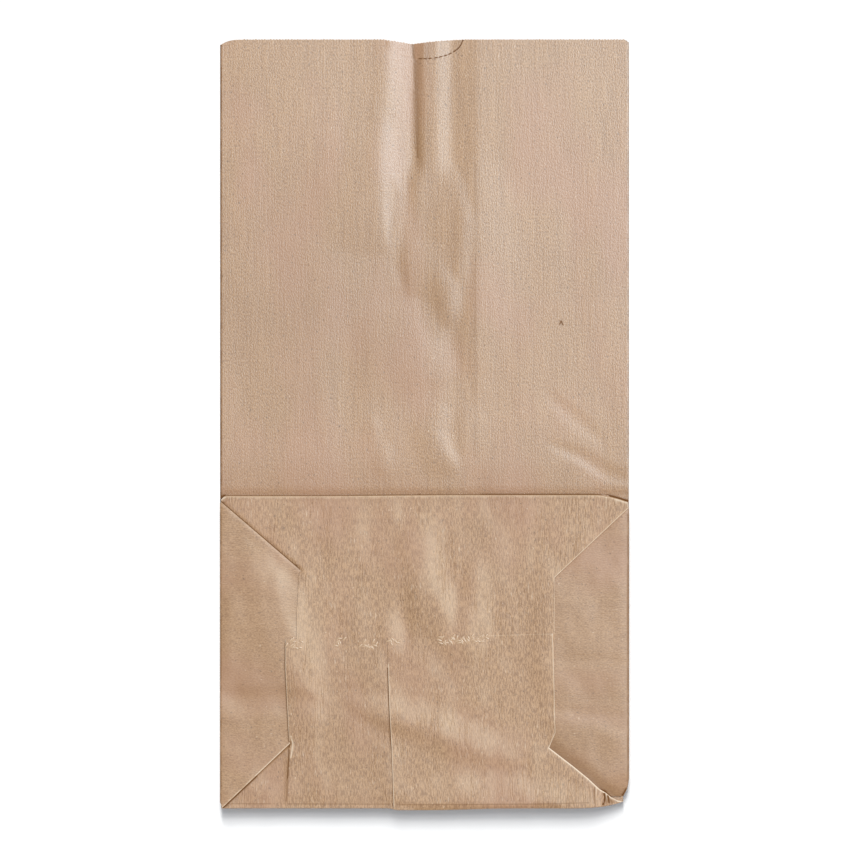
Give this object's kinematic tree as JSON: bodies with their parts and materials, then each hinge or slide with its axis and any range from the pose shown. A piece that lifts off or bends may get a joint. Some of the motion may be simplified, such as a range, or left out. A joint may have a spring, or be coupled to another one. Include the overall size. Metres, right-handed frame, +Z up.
{
  "type": "paper grocery bag, folded flat",
  "caption": "Plain kraft paper grocery bag with side gussets and a block bottom, folded flat with the bottom turned up over its front.",
  "frame": {"origin": "centre of the folded bag's box, on the surface that its back panel lies on", "axes": "+X across the bag, +Y from the bottom fold towards the mouth, +Z up from the back panel to the turned-up bottom"},
  "size_m": [0.2094, 0.394, 0.0061],
  "materials": {
    "kraft_paper": "unbleached kraft paper, satin, with fine machine-direction ribs"
  },
  "bodies": {
    "root": {"paper_bag": "kraft_paper"}
  },
  "joints": []
}
